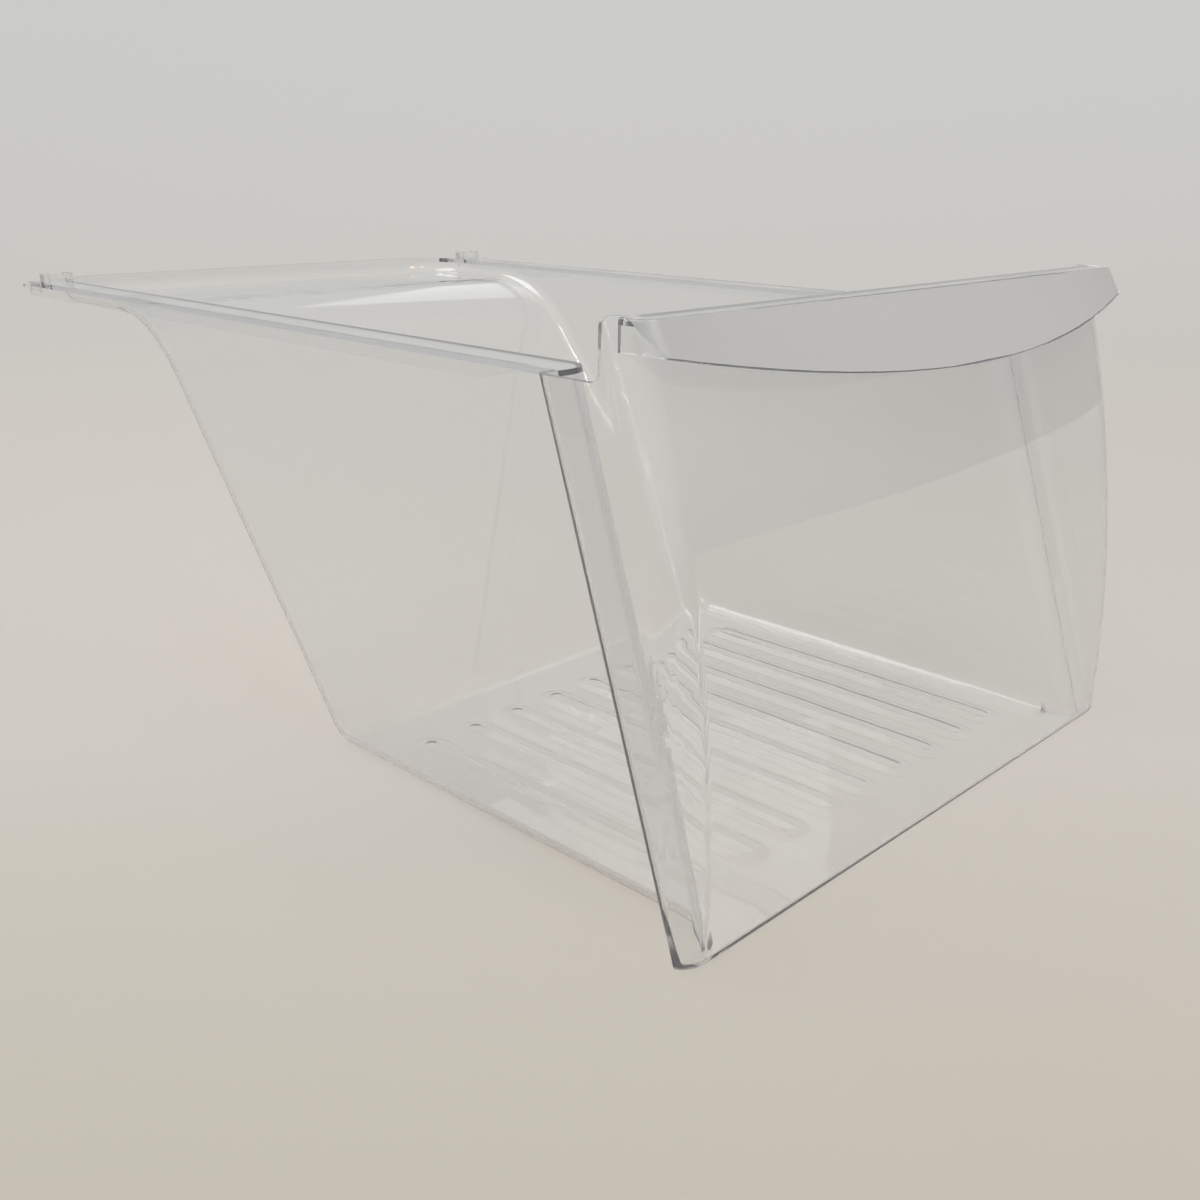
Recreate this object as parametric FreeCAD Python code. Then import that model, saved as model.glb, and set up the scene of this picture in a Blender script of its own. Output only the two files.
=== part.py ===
import FreeCAD, Part
import math
import os

from FreeCAD import Vector

# Clear refrigerator crisper drawer, one injection moulding.
# All sizes are in millimetres. While it is modelled, x runs across the drawer, y runs back from the
# foremost line of the front panel, and z runs up from the surface it stands on.

# Moulded wall
wall = 2.4

# Tub: upright sides, a floor, a sloping rear wall and a shelf over the fridge's compressor hump
tub_width = 260.0
tub_depth = 470.0
rim_height = 186.0
floor_depth = 225.5
rear_slope = 0.806
rear_wall_height = 11.0
heel_radius = 16.0
shelf_sweep_radius = 71.0
tub_edge_radius = 8.0
rear_corner_radius = 30.0

# Front panel, which is wider than the tub, the cheeks that turn back from its ends, and the leaning
# shoulders that join the cheeks' rear edges to the tub's sides
panel_overhang = 24.0
panel_rise = 20.0
bulge_radius = 595.0
bulge_height = 16.0
panel_corner_radius = 12.0
panel_foot_radius = 4.0
cheek_foot = 7.2
cheek_lean = 0.337
cheek_edge_radius = 5.5
shoulder_radius = 9.0
ear_length = 7.8
ear_radius = 3.2
notch_radius = 3.6

# Handle hood: a flat top strip and a bowed skirt with a finger gap behind it
strip_width = 8.0
skirt_end_lean = 5.2
skirt_end_drop = 10.0
skirt_bow = 18.6
skirt_dip = 14.0
skirt_wall = 2.2
hood_corner_radius = 6.0
hood_edge_radius = 1.2

# Rails: flanges on the side walls with a lip turned down along the outer edge
rail_width = 16.4
rail_rear_gap = 13.0
lip_drop = 7.0
lip_wall = 2.2
lip_start = 14.5
lip_ramp = 21.0

# Stops near the rear end of the rails
stop_setback = 25.0
stop_margin = 0.8
stop_wall = 2.4
stop_height = 3.8
post_height = 4.6
post_width = 3.0
post_depth = 5.0
fin_reach = 8.0
fin_drop = 5.0

# Floor beads
bead_count = 9
bead_pitch = 25.6
bead_width = 13.0
bead_height = 2.0
bead_wall = 1.6
bead_front = 30.0
bead_rear_gap = 29.0
bead_slope = 1.2

# Room that construction bodies keep past what they cut or trim, the slack when edges are picked, and
# the share of z in its direction that makes an edge upright
over = 40.0
near = 1e-3
upright_share = 0.5

tub_half = tub_width / 2
shelf_height = rim_height - rear_wall_height
panel_half = tub_half + panel_overhang
panel_height = rim_height + panel_rise
cheek_back = cheek_foot + cheek_lean * rim_height
rail_outer = tub_half - wall + rail_width
rail_back = tub_depth - rail_rear_gap
bead_back = floor_depth - bead_rear_gap


def front_y(height, inset=0.0):
    """Depth of the front panel's surface at a height, moved back into the wall by inset."""
    radius = bulge_radius - inset
    return bulge_radius - math.sqrt(radius ** 2 - (height - bulge_height) ** 2)


def front_edge(low, high, inset):
    """Arc of the panel's bulge in the side view, from a low to a high level."""
    levels = (low, (low + high) / 2, high)
    return Part.Arc(*[Vector(0, front_y(z, inset), z) for z in levels]).toShape()


def rounded_path(corners):
    """Edges through (y, z, radius) corners in the side view, with a tangent arc at each inner corner."""
    points = [Vector(0, y, z) for y, z, radius in corners]
    edges = []
    last = points[0]
    for before, here, after, corner in zip(points, points[1:], points[2:], corners[1:]):
        radius = corner[2]
        if radius > 0:
            to_before = (before - here).normalize()
            to_after = (after - here).normalize()
            half_angle = to_before.getAngle(to_after) / 2
            reach = radius / math.tan(half_angle)
            middle = (to_before + to_after).normalize() * (radius / math.sin(half_angle) - radius)
            start = here + to_before * reach
            end = here + to_after * reach
            edges.append(Part.LineSegment(last, start).toShape())
            edges.append(Part.Arc(start, here + middle, end).toShape())
            last = end
        else:
            edges.append(Part.LineSegment(last, here).toShape())
            last = here
    edges.append(Part.LineSegment(last, points[-1]).toShape())
    return edges


def across(edges, half):
    """Solid of a side view outline, reaching half to each side of the middle."""
    face = Part.Face(Part.Wire(Part.__sortEdges__(edges)))
    solid = face.extrude(Vector(2 * half, 0, 0))
    solid.translate(Vector(-half, 0, 0))
    return solid


def slab(x_range, y_range, z_range):
    """Box between two corners."""
    low, high = zip(x_range, y_range, z_range)
    size = [b - a for a, b in zip(low, high)]
    return Part.makeBox(*size, Vector(*low))


def round_front_corners(solid, half, radius):
    """Round the two upright edges where the bulging front meets the sides."""
    corners = []
    for edge in solid.Edges:
        on_side = all(abs(abs(v.X) - half) < near for v in edge.Vertexes)
        if on_side and isinstance(edge.Curve, Part.Circle) and edge.Curve.Radius > bulge_radius / 2:
            corners.append(edge)
    return solid.makeFillet(radius, corners)


def tub_solid(inset, front_inset):
    """The tub as a full body, with every wall moved inward by inset."""
    shift = inset * math.hypot(1, rear_slope)
    floor = inset
    shelf = shelf_height + inset
    back = tub_depth - inset
    corners = [
        (front_y(floor, front_inset), floor, 0),
        (floor_depth + rear_slope * floor - shift, floor, heel_radius - inset),
        (floor_depth + rear_slope * shelf - shift, shelf, shelf_sweep_radius + inset),
        (back, shelf, 0),
        (back, rim_height, 0),
        (front_y(rim_height, front_inset), rim_height, 0),
    ]
    half = tub_half - inset
    solid = across(rounded_path(corners) + [front_edge(floor, rim_height, front_inset)], half)
    rear = [edge for edge in solid.Edges if all(v.Y > back - near for v in edge.Vertexes)]
    upright = [edge for edge in rear if abs(edge.tangentAt(edge.FirstParameter).z) > upright_share]
    solid = solid.makeFillet(rear_corner_radius - inset, upright)
    seams = []
    for edge in solid.Edges:
        on_side = all(abs(abs(v.X) - half) < near for v in edge.Vertexes)
        on_floor = all(abs(v.Z - floor) < near for v in edge.Vertexes)
        if on_side and on_floor:
            seams.append(edge)
    return solid.makeFillet(tub_edge_radius - inset, seams)


def foot_edge(block, inset):
    """The panel's lower front edge between its rounded corners."""
    front = Vector(0, front_y(inset, inset), inset)
    return [edge for edge in block.Edges if edge.CenterOfMass.isEqual(front, near)]


def front_block(inset):
    """Everything over the floor, behind the panel's bulge and between the cheeks, moved inward by inset."""
    low = -over
    high = panel_height + over
    back = tub_depth + over
    corners = [
        (front_y(low, inset), low, 0),
        (back, low, 0),
        (back, high, 0),
        (front_y(high, inset), high, 0),
    ]
    half = panel_half - inset
    block = across(rounded_path(corners) + [front_edge(low, high, inset)], half)
    block = round_front_corners(block, half, panel_corner_radius - inset)
    block = block.common(slab((-half, half), (-over, back), (inset, high)))
    return block.makeFillet(panel_foot_radius - inset, foot_edge(block, inset))


def front_outline():
    """Side view of the front: the rim, the notch and the ear, open to the front and below."""
    ear_back = front_y(panel_height, wall) + ear_length
    back = cheek_back + over
    corners = [
        (-over, -over, 0),
        (back, -over, 0),
        (back, rim_height, 0),
        (ear_back, rim_height, notch_radius),
        (ear_back, panel_height, ear_radius),
        (-over, panel_height, 0),
        (-over, -over, 0),
    ]
    return across(rounded_path(corners), panel_half + over)


def shoulder_block(inset):
    """Everything ahead of the leaning shoulders and of their round turns into cheeks and tub sides."""
    along = Vector(0, cheek_lean, 1).normalize()
    behind = Vector(0, 1, -cheek_lean).normalize()
    reach = cheek_back + over
    foot = Vector(0, cheek_foot, 0) - along * reach
    half = tub_half - inset
    cheek = panel_half - inset
    inner = shoulder_radius + inset
    outer = cheek_edge_radius - inset
    bend = 1 - math.sqrt(0.5)
    side = panel_half + over
    corners = [
        (half, inner - inset),
        (half + bend * inner, bend * inner - inset),
        (half + inner, -inset),
        (cheek - outer, -inset),
        (cheek - bend * outer, -inset - bend * outer),
        (cheek, -inset - outer),
        (side, -inset - outer),
        (side, -reach),
    ]
    edges = []
    ends = []
    for sign in (-1, 1):
        points = [foot + Vector(sign * x, 0, 0) + behind * depth for x, depth in corners]
        edges.append(Part.Arc(*points[0:3]).toShape())
        edges.append(Part.LineSegment(*points[2:4]).toShape())
        edges.append(Part.Arc(*points[3:6]).toShape())
        edges.append(Part.LineSegment(*points[5:7]).toShape())
        edges.append(Part.LineSegment(*points[6:8]).toShape())
        ends.append((points[0], points[-1]))
    for left, right in zip(*ends):
        edges.append(Part.LineSegment(left, right).toShape())
    section = Part.Face(Part.Wire(Part.__sortEdges__(edges)))
    return section.extrude(along * (panel_height + 2 * reach + over))


def front_bay(panel_inset, shoulder_inset, low, high):
    """The part between panel, cheeks and shoulders, from a low to a high level."""
    levels = slab((-panel_half, panel_half), (-over, tub_depth), (low, high))
    return front_block(panel_inset).common(shoulder_block(shoulder_inset)).common(levels)


def hood_ridge(x):
    """Point of the hood's upper front edge at a distance x from the middle."""
    return Vector(x, front_y(panel_height) - strip_width, panel_height)


def hood_section(x, thickness):
    """Side view wire of the hood at a distance x from the middle, or of the gap under its walls."""
    share = 1 - (x / panel_half) ** 2
    back = front_y(panel_height, wall)
    ridge = hood_ridge(x)
    lip = ridge - Vector(0, skirt_end_lean + skirt_bow * share, skirt_end_drop + skirt_dip * share)
    if thickness > 0:
        down = (lip - ridge).normalize()
        inward = Vector(0, -down.z, down.y) * thickness
        slide = (inward.z + wall) / -down.z
        lip = lip + inward + down * wall * 2
        ridge = ridge + inward + down * slide
        back = back + over
    points = [Vector(x, back, ridge.z), ridge, lip, Vector(x, back, lip.z)]
    return Part.makePolygon(points + points[:1])


def hood_solid(half, thickness, corner_radius):
    """The hood's bowed form between its two ends, with rounded front corners."""
    solid = Part.makeLoft([hood_section(x, thickness) for x in (-half, 0, half)], True, False)
    corners = []
    for edge in solid.Edges:
        middle = edge.CenterOfMass
        steep = abs(edge.tangentAt(edge.FirstParameter).z) > upright_share
        if abs(abs(middle.x) - half) < near and steep and middle.y < front_y(panel_height):
            corners.append(edge)
    return solid.makeFillet(corner_radius, corners)


def handle_hood(space):
    """Top strip, skirt and end walls of the handle, open from below."""
    outer = hood_solid(panel_half, 0.0, hood_corner_radius)
    ridge = [edge for edge in outer.Edges if edge.CenterOfMass.isEqual(hood_ridge(0), near)]
    outer = outer.makeFillet(hood_edge_radius, ridge)
    gap = hood_solid(panel_half - wall, skirt_wall, hood_corner_radius - wall)
    return outer.cut(gap).cut(space)


def mirrored(shape):
    """A shape and its twin on the other side of the middle."""
    return [shape, shape.mirror(Vector(0, 0, 0), Vector(1, 0, 0))]


def rail():
    """Flange on the right rim with its downturned outer lip."""
    inner = tub_half - rear_corner_radius
    flange = slab((inner, rail_outer), (cheek_back - wall, rail_back), (rim_height - wall, rim_height))
    lip_top = rim_height - wall / 2
    lip_low = rim_height - lip_drop
    lip_front = cheek_back + lip_start
    corners = [
        (lip_front, lip_top, 0),
        (lip_front, rim_height - wall, 0),
        (lip_front + lip_ramp, lip_low, 0),
        (rail_back, lip_low, 0),
        (rail_back, lip_top, 0),
        (lip_front, lip_top, 0),
    ]
    lip = across(rounded_path(corners), lip_wall / 2)
    lip.translate(Vector(rail_outer - lip_wall / 2, 0, 0))
    return flange.fuse(lip)


def rail_stop():
    """Cross rib with two posts near the rear end of the right rail, and a fin past its outer edge."""
    inner = tub_half - wall + stop_margin
    outer = rail_outer - stop_margin
    back = tub_depth - stop_setback
    foot = rim_height - wall / 2
    rib = slab((inner, outer), (back - stop_wall, back), (foot, rim_height + stop_height))
    posts = []
    for start in (inner, outer - post_width):
        depth = (back - post_depth, back)
        posts.append(slab((start, start + post_width), depth, (foot, rim_height + post_height)))
    root = rail_outer - lip_wall / 2
    tip = rail_outer + fin_reach
    corners = [
        Vector(root, back, rim_height),
        Vector(tip, back, rim_height),
        Vector(tip, back, rim_height - stop_wall / 2),
        Vector(root, back, rim_height - fin_drop),
    ]
    fin = Part.Face(Part.makePolygon(corners + corners[:1])).extrude(Vector(0, -stop_wall, 0))
    return rib.fuse(posts + [fin])


def bead(x, width, low, high):
    """Round-ended bar along the floor, with a sloped shoulder round its top."""
    radius = width / 2
    front = bead_front + radius
    back = bead_back - radius
    left, right = x - radius, x + radius
    outline = [
        Part.Arc(Vector(left, front, low), Vector(x, bead_front, low), Vector(right, front, low)).toShape(),
        Part.LineSegment(Vector(right, front, low), Vector(right, back, low)).toShape(),
        Part.Arc(Vector(right, back, low), Vector(x, bead_back, low), Vector(left, back, low)).toShape(),
        Part.LineSegment(Vector(left, back, low), Vector(left, front, low)).toShape(),
    ]
    bar = Part.Face(Part.Wire(outline)).extrude(Vector(0, 0, high - low))
    top = [edge for edge in bar.Edges if all(abs(v.Z - high) < near for v in edge.Vertexes)]
    return bar.makeChamfer(bead_slope, top)


def bead_places():
    """Where the beads lie across the floor."""
    return [(i - (bead_count - 1) / 2) * bead_pitch for i in range(bead_count)]


block = front_block(0.0)
space = front_block(wall)
tray = block.cut(space).common(front_outline()).common(shoulder_block(0.0))
tub = tub_solid(0.0, wall / 2)
bay = front_bay(wall / 2, 0.0, 0.0, rim_height)
hollow = tub_solid(wall, wall).fuse(front_bay(wall, wall, wall, panel_height + over))
beads = [bead(x, bead_width, wall / 2, wall + bead_height) for x in bead_places()]
grooves = [bead(x, bead_width - 2 * bead_wall, -wall, bead_height) for x in bead_places()]

body = tray.fuse([tub, bay, handle_hood(space)] + mirrored(rail()))
body = body.cut(hollow)
body = body.fuse(mirrored(rail_stop())).fuse(beads).cut(grooves).removeSplitter()
box = body.optimalBoundingBox(True, False)
body.translate(Vector(0, -(box.YMin + box.YMax) / 2, 0))

os.makedirs("parts", exist_ok=True)
body.Solids[0].exportStep("parts/crisper_drawer.step")
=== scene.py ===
import math

import bmesh
import bpy
from mathutils import Matrix, Vector


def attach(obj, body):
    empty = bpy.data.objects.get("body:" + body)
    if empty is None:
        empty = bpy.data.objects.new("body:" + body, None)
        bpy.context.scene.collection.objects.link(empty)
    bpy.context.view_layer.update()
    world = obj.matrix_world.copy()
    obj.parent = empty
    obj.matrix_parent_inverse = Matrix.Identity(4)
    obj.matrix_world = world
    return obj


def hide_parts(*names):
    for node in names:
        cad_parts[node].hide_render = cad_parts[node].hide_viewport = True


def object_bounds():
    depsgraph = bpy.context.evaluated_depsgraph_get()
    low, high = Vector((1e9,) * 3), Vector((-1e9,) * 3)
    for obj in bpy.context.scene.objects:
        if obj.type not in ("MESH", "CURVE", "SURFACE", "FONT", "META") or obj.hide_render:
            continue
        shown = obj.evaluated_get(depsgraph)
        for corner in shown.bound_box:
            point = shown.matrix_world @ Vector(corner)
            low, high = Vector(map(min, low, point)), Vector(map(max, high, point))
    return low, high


# A clear fridge crisper drawer on a pale sweep of paper, in metres, in the frame of the solids.

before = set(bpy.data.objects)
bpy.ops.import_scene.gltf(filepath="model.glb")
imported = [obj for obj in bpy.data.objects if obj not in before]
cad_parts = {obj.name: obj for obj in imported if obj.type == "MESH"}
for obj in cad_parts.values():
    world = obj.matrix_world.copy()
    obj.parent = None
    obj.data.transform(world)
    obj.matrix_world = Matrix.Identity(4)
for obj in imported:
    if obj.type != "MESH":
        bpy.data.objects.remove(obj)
cad_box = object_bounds()
scene = bpy.context.scene
scene.view_settings.view_transform = "Standard"

MM = 0.001

# Where the photograph was taken from: turn, pitch and roll in degrees, and the lens in the drawer's frame
VIEW_AZIMUTH = -46.12
VIEW_PITCH = 19.1
VIEW_ROLL = 0.69
LENS_PLACE = (-420.7 * MM, -451.7 * MM, 248.0 * MM)
# Focal length and sensor width in mm, from the same fit, and the nearest distance that is drawn
FOCAL_LENGTH = 38.14
SENSOR_WIDTH = 36
NEAR_CLIP = 10 * MM


def linear(hex_colour):
    """Linear colour of an sRGB hex value."""
    parts = [int(hex_colour[i:i + 2], 16) / 255 for i in (1, 3, 5)]
    light = [c / 12.92 if c <= 0.04045 else ((c + 0.055) / 1.055) ** 2.4 for c in parts]
    return (*light, 1.0)


def add(tree, kind, inputs=None, **settings):
    """Add a node, with its settings and the values or links of its inputs."""
    node = tree.nodes.new(kind)
    for name, value in settings.items():
        setattr(node, name, value)
    for name, value in (inputs or {}).items():
        if isinstance(value, bpy.types.NodeSocket):
            tree.links.new(value, node.inputs[name])
        else:
            node.inputs[name].default_value = value
    return node


def new_material(name):
    """An empty node material and its tree."""
    material = bpy.data.materials.new(name)
    material.use_nodes = True
    material.node_tree.nodes.clear()
    return material, material.node_tree


# Materials

# Polystyrene: its refractive index, and the tint and strength of what it absorbs along a metre
STYRENE_IOR = 1.59
STYRENE_TINT = "#B5B5C9"
STYRENE_DENSITY = 20.0
# Slow waves of the melt's flow, which bend what is seen through the walls
FLOW_LENGTH = 62.5 * MM
FLOW_DEPTH = 2 * MM
# Light handling scuffs, drawn wider than real ones so that they show
SCUFF_WIDTH = 2.381 * MM
# Spark grain is about 0.1 mm wide; it is drawn as fine as the render can show
GRAIN_WIDTH = 0.5 * MM
GRAIN_DEPTH = 0.4 * MM

# The paper's tone near the lens, drawn darker and warmer there as painted shade, under the drawer, and
# far behind it, drawn lighter there as painted light on the upright backdrop; the distances in metres
# along the view between which it changes, and the share of it that the eye gets as an even tone
PAPER_NEAR_SHADED = "#BCB7AA"
PAPER_MIDDLE = "#CCC8C2"
PAPER_FAR_LIT = "#D5D6D5"
NEAR_CHANGE = (-0.5, -0.1)
FAR_CHANGE = (0.3, 3.0)
EVEN_SHARE = 0.6
# Sockets of a Mix node that hold its two colours and their mix
MIX_FIRST = 6
MIX_SECOND = 7
MIX_RESULT = 2


def see_through(tree, plastic, shadow_tint):
    """Finish a clear plastic: lamps shine through it, and a long way through it looks violet grey."""
    lamp_ray = add(tree, "ShaderNodeLightPath").outputs["Is Shadow Ray"]
    passed = add(tree, "ShaderNodeBsdfTransparent", {"Color": linear(shadow_tint)})
    mix = add(tree, "ShaderNodeMixShader", {
        0: lamp_ray, 1: plastic.outputs[0], 2: passed.outputs[0]})
    tint = add(tree, "ShaderNodeVolumeAbsorption", {
        "Color": linear(STYRENE_TINT), "Density": STYRENE_DENSITY})
    add(tree, "ShaderNodeOutputMaterial", {"Surface": mix.outputs[0], "Volume": tint.outputs[0]})


def clear_polystyrene():
    """General-purpose polystyrene from a polished mould: water clear, glossy and a little wavy."""
    material, tree = new_material("clear_polystyrene")
    place = add(tree, "ShaderNodeTexCoord").outputs["Object"]
    flow = add(tree, "ShaderNodeTexNoise", {"Vector": place, "Scale": 1 / FLOW_LENGTH, "Detail": 1.0})
    bump = add(tree, "ShaderNodeBump", {
        "Height": flow.outputs[0], "Strength": 0.05, "Distance": FLOW_DEPTH})
    scuff = add(tree, "ShaderNodeTexNoise", {"Vector": place, "Scale": 1 / SCUFF_WIDTH, "Detail": 4.0})
    rough = add(tree, "ShaderNodeMapRange", {
        "Value": scuff.outputs[0],
        "From Min": 0.5, "From Max": 0.8, "To Min": 0.012, "To Max": 0.035})
    plastic = add(tree, "ShaderNodeBsdfPrincipled", {
        "Base Color": linear("#FBFCFC"), "Roughness": rough.outputs[0], "IOR": STYRENE_IOR,
        "Transmission Weight": 0.97, "Normal": bump.outputs[0]})
    see_through(tree, plastic, "#F8F8F7")
    return material


def frosted_polystyrene():
    """The same plastic from a spark-eroded mould face: satin, and milky to look through."""
    material, tree = new_material("frosted_polystyrene")
    place = add(tree, "ShaderNodeTexCoord").outputs["Object"]
    grain = add(tree, "ShaderNodeTexNoise", {"Vector": place, "Scale": 1 / GRAIN_WIDTH, "Detail": 2.0})
    bump = add(tree, "ShaderNodeBump", {
        "Height": grain.outputs[0], "Strength": 0.15, "Distance": GRAIN_DEPTH})
    plastic = add(tree, "ShaderNodeBsdfPrincipled", {
        "Base Color": linear("#D4D8DB"), "Roughness": 0.4, "IOR": STYRENE_IOR,
        "Transmission Weight": 0.32, "Normal": bump.outputs[0]})
    see_through(tree, plastic, "#D8D8D6")
    return material


def backdrop_paper():
    """Matt seamless paper, with painted shade that makes it warmer and darker near the lens and painted
    light that makes it lighter far behind.
    """
    material, tree = new_material("backdrop_paper")
    place = add(tree, "ShaderNodeTexCoord").outputs["Object"]
    turn = math.radians(VIEW_AZIMUTH)
    away = add(tree, "ShaderNodeVectorMath", {
        0: place, 1: (-math.sin(turn), math.cos(turn), 0.0)}, operation="DOT_PRODUCT").outputs["Value"]
    near_part = add(tree, "ShaderNodeMapRange", {
        "Value": away, "From Min": NEAR_CHANGE[0], "From Max": NEAR_CHANGE[1]})
    far_part = add(tree, "ShaderNodeMapRange", {
        "Value": away, "From Min": FAR_CHANGE[0], "From Max": FAR_CHANGE[1]})
    # Painted shade: the paper turns darker and warmer towards the lens
    floor = add(tree, "ShaderNodeMix", {
        "Factor": near_part.outputs[0],
        MIX_FIRST: linear(PAPER_NEAR_SHADED), MIX_SECOND: linear(PAPER_MIDDLE)}, data_type="RGBA")
    # Painted light: the upright backdrop far behind is drawn lighter than the light falling on it makes
    # it
    colour = add(tree, "ShaderNodeMix", {
        "Factor": far_part.outputs[0],
        MIX_FIRST: floor.outputs[MIX_RESULT], MIX_SECOND: linear(PAPER_FAR_LIT)},
        data_type="RGBA").outputs[MIX_RESULT]
    paper = add(tree, "ShaderNodeBsdfDiffuse", {"Color": colour})
    # The clear plastic shows the paper in the same even tone as the eye sees it
    rays = add(tree, "ShaderNodeLightPath").outputs
    seen = add(tree, "ShaderNodeMath", {
        0: rays["Is Camera Ray"], 1: rays["Is Glossy Ray"]}, operation="MAXIMUM")
    seen = add(tree, "ShaderNodeMath", {
        0: seen.outputs[0], 1: rays["Is Transmission Ray"]}, operation="MAXIMUM")
    share = add(tree, "ShaderNodeMath", {0: seen.outputs[0], 1: EVEN_SHARE}, operation="MULTIPLY")
    even = add(tree, "ShaderNodeEmission", {"Color": colour})
    mix = add(tree, "ShaderNodeMixShader", {
        0: share.outputs[0], 1: paper.outputs[0], 2: even.outputs[0]})
    add(tree, "ShaderNodeOutputMaterial", {"Surface": mix.outputs[0]})
    return material


# The drawer

# Corners of triangles this close are one, and faces within this angle are one. Edges sharper than the
# crease stay crisp. Angles are in degrees
WELD_DISTANCE = 0.002 * MM
FLAT_ANGLE = 0.3
CREASE_ANGLE = 24
# Setting of the Weighted Normal modifier at which faces count by their area
AREA_WEIGHT = 50

# The floor's beads: their spacing, and the front and rear end of their centre lines
BEAD_PITCH = 25.6 * MM
BEAD_LINE = (-198.176 * MM, -44.676 * MM)
# Rings of a bead and of the groove under it in mm: level and half width in the solid, how far the
# ring's centre line goes past the bead's, then level and half width of the soft form
BEAD_RINGS = (
    (2.4, 6.5, 0.0, 2.4, 9.0),
    (3.2, 6.5, 0.0, 2.68, 6.0),
    (4.4, 5.3, 0.0, 2.95, 3.0),
    (0.0, 4.9, 1.6, 0.0, 8.8),
    (0.8, 4.9, 1.6, 0.28, 5.8),
    (1.4, 4.3, 1.6, 0.41, 4.3),
    (2.0, 3.7, 1.6, 0.55, 2.8),
)
RING_SLACK = 0.1 * MM

# Where the panel's front stands, as in the solid: radius and level of its bulge, and its foremost line
BULGE_RADIUS = 595 * MM
BULGE_HEIGHT = 16 * MM
FRONT_LINE = cad_box[0][1] + 0.65 * MM
# The skirt's outer face: it lies over this level and this far ahead of the panel, and its normal points
# at least so far to the front and between these limits upward
HOOD_LEVEL = 180 * MM
SKIRT_LEAD = 1 * MM
SKIRT_FRONTWARD = 0.05
SKIRT_UPWARD = (0.1, 0.8)
# The skirt's lower edge lies in a tilted plane. The frosted texture starts about 1 mm above it, at a
# plane through this point that rises by this much for each length towards the rear
TEXTURE_START = Vector((0, FRONT_LINE - 0.1 * MM, 182.53 * MM))
TEXTURE_RISE = 0.767
TEXTURE_SLACK = 0.001 * MM


def soften_beads(work):
    """Give the beads and the grooves under them the gentle sides of the moulded floor."""
    front, rear = BEAD_LINE
    for vert in work.verts:
        x, y, z = vert.co
        middle = round(x / BEAD_PITCH) * BEAD_PITCH
        for level, half, past, soft_level, soft_half in BEAD_RINGS:
            along = min(max(y, front - past * MM), rear + past * MM)
            away = Vector((x - middle, y - along))
            on_level = abs(z - level * MM) < RING_SLACK
            if on_level and abs(away.length - half * MM) < RING_SLACK:
                foot = Vector((middle, min(max(y, front), rear))) + away.normalized() * soft_half * MM
                vert.co = (*foot, soft_level * MM)
                break


def panel_front(height):
    """Depth of the front panel's surface at a height."""
    return FRONT_LINE + BULGE_RADIUS - math.sqrt(BULGE_RADIUS ** 2 - (height - BULGE_HEIGHT) ** 2)


def on_skirt(face):
    """True on the outer face of the handle skirt, which stands in front of the panel."""
    middle = face.calc_center_median()
    low, high = SKIRT_UPWARD
    faces_front = face.normal.y < -SKIRT_FRONTWARD and low < face.normal.z < high
    return faces_front and middle.z > HOOD_LEVEL and middle.y < panel_front(middle.z) - SKIRT_LEAD


def part_skirt(work):
    """Part the skirt's outer face along the line where its frosted texture starts."""
    faces = [face for face in work.faces if on_skirt(face)]
    edges = {edge for face in faces for edge in face.edges}
    verts = {vert for face in faces for vert in face.verts}
    bmesh.ops.bisect_plane(
        work, geom=faces + list(edges) + list(verts), dist=TEXTURE_SLACK,
        plane_co=TEXTURE_START, plane_no=(0, -TEXTURE_RISE, 1))
    work.normal_update()


def is_frosted(face):
    """True on the skirt above its polished lower margin."""
    up = face.calc_center_median() - TEXTURE_START
    return on_skirt(face) and up.z > up.y * TEXTURE_RISE


def drawer_piece():
    """The moulding, welded from the solid's triangles, with crisp edges and even faces."""
    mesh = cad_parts["crisper_drawer"].data.copy()
    mesh.name = "drawer"
    work = bmesh.new()
    work.from_mesh(mesh)
    bmesh.ops.remove_doubles(work, verts=work.verts, dist=WELD_DISTANCE)
    bmesh.ops.dissolve_limit(
        work, angle_limit=math.radians(FLAT_ANGLE), verts=work.verts, edges=work.edges)
    soften_beads(work)
    crease = math.radians(CREASE_ANGLE)
    for edge in work.edges:
        edge.smooth = edge.calc_face_angle() < crease
    work.normal_update()
    part_skirt(work)
    for face in work.faces:
        face.smooth = True
        face.material_index = int(is_frosted(face))
    # The slots come first, because emptying them later would reset the faces' choice
    mesh.materials.clear()
    mesh.materials.append(clear_polystyrene())
    mesh.materials.append(frosted_polystyrene())
    work.to_mesh(mesh)
    work.free()
    piece = bpy.data.objects.new("drawer", mesh)
    scene.collection.objects.link(piece)
    even = piece.modifiers.new("even_faces", "WEIGHTED_NORMAL")
    even.keep_sharp = True
    even.weight = AREA_WEIGHT
    bpy.context.view_layer.update()
    finished = piece.evaluated_get(bpy.context.evaluated_depsgraph_get())
    done = bpy.data.meshes.new_from_object(finished)
    piece.modifiers.clear()
    piece.data = done
    return piece


drawer = drawer_piece()
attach(drawer, "root")
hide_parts("crisper_drawer")


# Stage, light and camera

# The paper in metres: half its width, which is also its reach towards the lens, the flat part behind
# the drawer, the radius of its curve and the height of the backdrop
PAPER_HALF = 6.0
PAPER_FLAT = 1.2
PAPER_RADIUS = 2.4
PAPER_TOP = 5.0
CURVE_STEPS = 24
# It lies this far under the drawer, so that the two share no face
PAPER_GAP = 0.4 * MM

# The studio's air: the direction in which it is brightest, how well a direction agrees with that one
# where the air is dimmest and brightest, and these two levels
AIR_COLOUR = "#F6F4F0"
AIR_BRIGHTEST = (-0.5, -0.15, 0.85)
AIR_AGREES = (-0.3, 0.9)
AIR_LEVELS = (0.35, 1.0)

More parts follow.
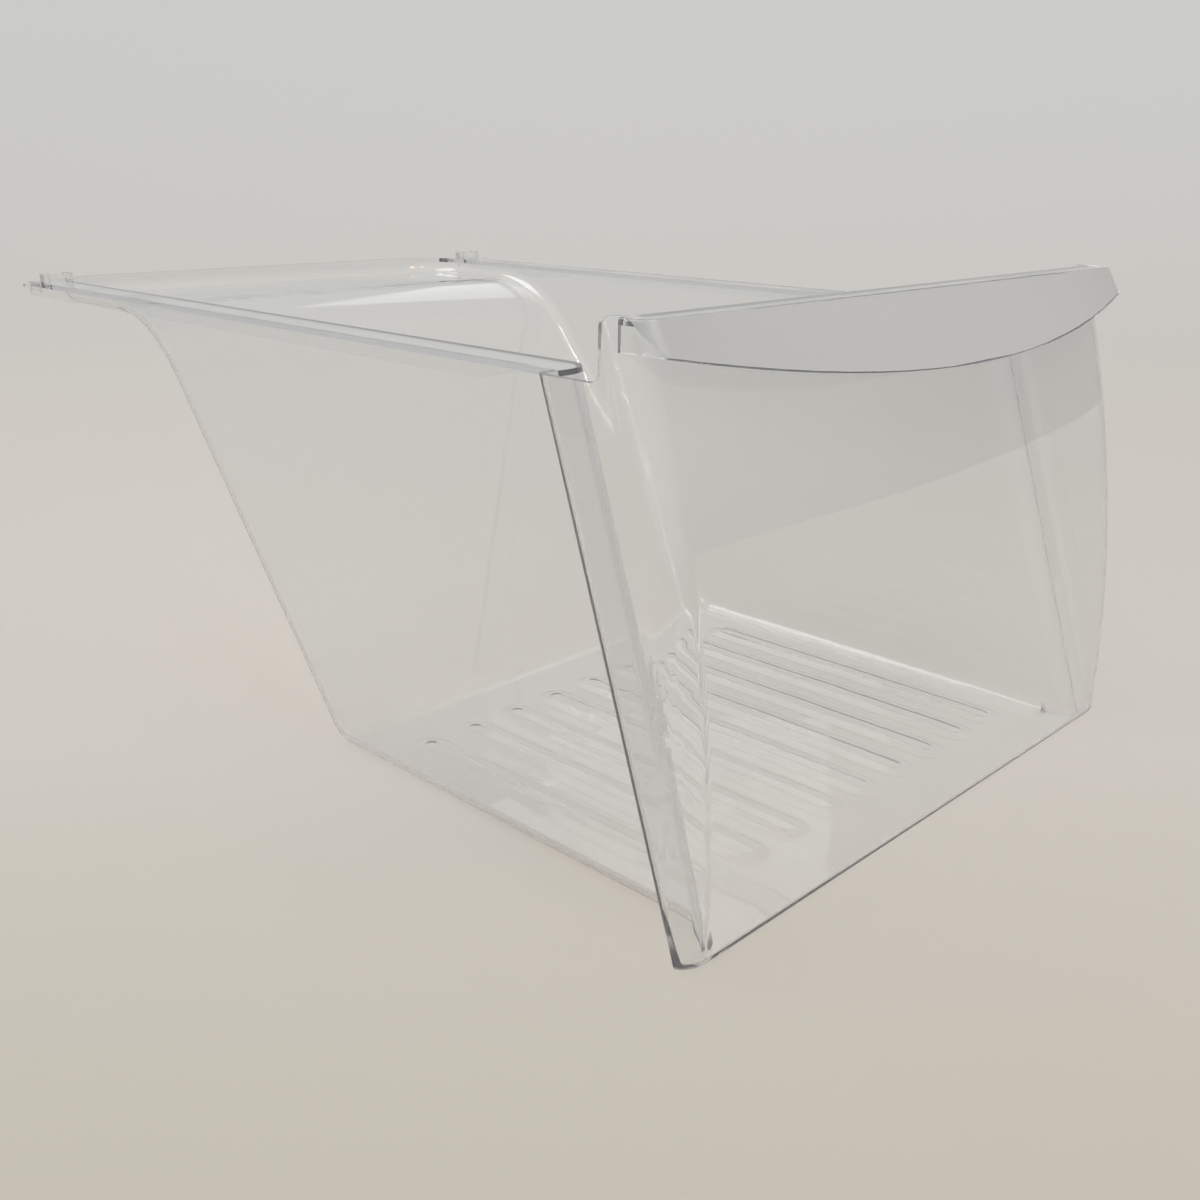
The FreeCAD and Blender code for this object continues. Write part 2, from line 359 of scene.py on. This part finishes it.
# Soft boxes: place, target, width and height in metres, power in watts and colour
LAMPS = {
    # A long strip for the pale streaks down the cheek and the rear sweep, and a warm glint beside them
    "ceiling_lamp": ((-0.327, -0.825, 1.371), (0.12, 0.05, 0.11), (0.05, 0.7), 5, "#FFFFFF"),
    "warm_lamp": ((0.232, -0.922, 1.373), (0.12, 0.03, 0.09), (0.2, 0.35), 2, "#FFC98F"),
    "rear_lamp": ((-0.32, 0.71, 1.31), (0.1, -0.1, 0), (0.8, 0.8), 5, "#FFFFFF"),
    # A weak sheen on the beads
    "bead_lamp": ((1.05, 0.82, 0.9), (0.0, -0.1, 0), (0.6, 0.5), 0.45, "#FFFFFF"),
}

# Light runs to and fro inside the clear walls many times before it comes out
LIGHT_BOUNCES = 48


def paper_sweep():
    """Floor that rises in one curve to a backdrop, square to the view."""
    path = [(-PAPER_HALF, 0.0), (PAPER_FLAT, 0.0)]
    for step in range(1, CURVE_STEPS + 1):
        angle = math.radians(90) * step / CURVE_STEPS
        along = PAPER_FLAT + PAPER_RADIUS * math.sin(angle)
        path.append((along, PAPER_RADIUS * (1 - math.cos(angle))))
    path.append((PAPER_FLAT + PAPER_RADIUS, PAPER_TOP))
    work = bmesh.new()
    rows = []
    for along, up in path:
        rows.append([work.verts.new((x, along, up)) for x in (-PAPER_HALF, PAPER_HALF)])
    for low, high in zip(rows, rows[1:]):
        face = work.faces.new((low[0], low[1], high[1], high[0]))
        face.smooth = True
    turn = Matrix.Rotation(math.radians(VIEW_AZIMUTH), 4, "Z")
    work.transform(Matrix.Translation((0, 0, -PAPER_GAP)) @ turn)
    mesh = bpy.data.meshes.new("paper_sweep")
    work.to_mesh(mesh)
    work.free()
    mesh.materials.append(backdrop_paper())
    sweep = bpy.data.objects.new("paper_sweep", mesh)
    scene.collection.objects.link(sweep)
    return sweep


def soft_lamp(name, place, target, size, power, colour):
    """Rectangular soft box at a place, turned to a target."""
    light = bpy.data.lights.new(name, "AREA")
    light.shape = "RECTANGLE"
    light.size, light.size_y = size
    light.energy = power
    light.color = linear(colour)[:3]
    lamp = bpy.data.objects.new(name, light)
    lamp.location = place
    lamp.rotation_euler = (Vector(target) - Vector(place)).to_track_quat("-Z", "Y").to_euler()
    scene.collection.objects.link(lamp)


def studio_world():
    """Studio air, bright from above on the left and dimmer on the right and low down."""
    world = bpy.data.worlds.new("studio")
    world.use_nodes = True
    tree = world.node_tree
    tree.nodes.clear()
    direction = add(tree, "ShaderNodeTexCoord").outputs["Generated"]
    agrees = add(tree, "ShaderNodeVectorMath", {
        0: direction, 1: AIR_BRIGHTEST}, operation="DOT_PRODUCT").outputs["Value"]
    level = add(tree, "ShaderNodeMapRange", {
        "Value": agrees, "From Min": AIR_AGREES[0], "From Max": AIR_AGREES[1],
        "To Min": AIR_LEVELS[0], "To Max": AIR_LEVELS[1]})
    air = add(tree, "ShaderNodeBackground", {
        "Color": linear(AIR_COLOUR), "Strength": level.outputs[0]})
    add(tree, "ShaderNodeOutputWorld", {"Surface": air.outputs[0]})
    scene.world = world


def photo_camera():
    """Camera at the photograph's angle, from a fit of the drawer's straight edges."""
    turn, pitch, roll = (math.radians(a) for a in (VIEW_AZIMUTH, VIEW_PITCH, VIEW_ROLL))
    level = Vector((-math.sin(turn), math.cos(turn), 0))
    ahead = level * math.cos(pitch) - Vector((0, 0, math.sin(pitch)))
    right = ahead.cross(Vector((0, 0, 1))).normalized()
    above = right.cross(ahead)
    side = right * math.cos(roll) + above * math.sin(roll)
    top = above * math.cos(roll) - right * math.sin(roll)
    axes = Matrix((side, top, -ahead)).transposed().to_4x4()
    lens = bpy.data.cameras.new("photo_camera")
    lens.sensor_fit = "HORIZONTAL"
    lens.sensor_width = SENSOR_WIDTH
    lens.lens = FOCAL_LENGTH
    lens.clip_start = NEAR_CLIP
    camera = bpy.data.objects.new("photo_camera", lens)
    camera.matrix_world = Matrix.Translation(LENS_PLACE) @ axes
    scene.collection.objects.link(camera)
    scene.camera = camera


paper_sweep()
for lamp_name, lamp_setting in LAMPS.items():
    soft_lamp(lamp_name, *lamp_setting)
studio_world()
photo_camera()
scene.cycles.max_bounces = LIGHT_BOUNCES
scene.cycles.transmission_bounces = LIGHT_BOUNCES
scene.cycles.glossy_bounces = LIGHT_BOUNCES
# Long thin triangles and so few lamps render faster this way, and look the same
scene.cycles.debug_use_spatial_splits = True
scene.cycles.use_light_tree = False
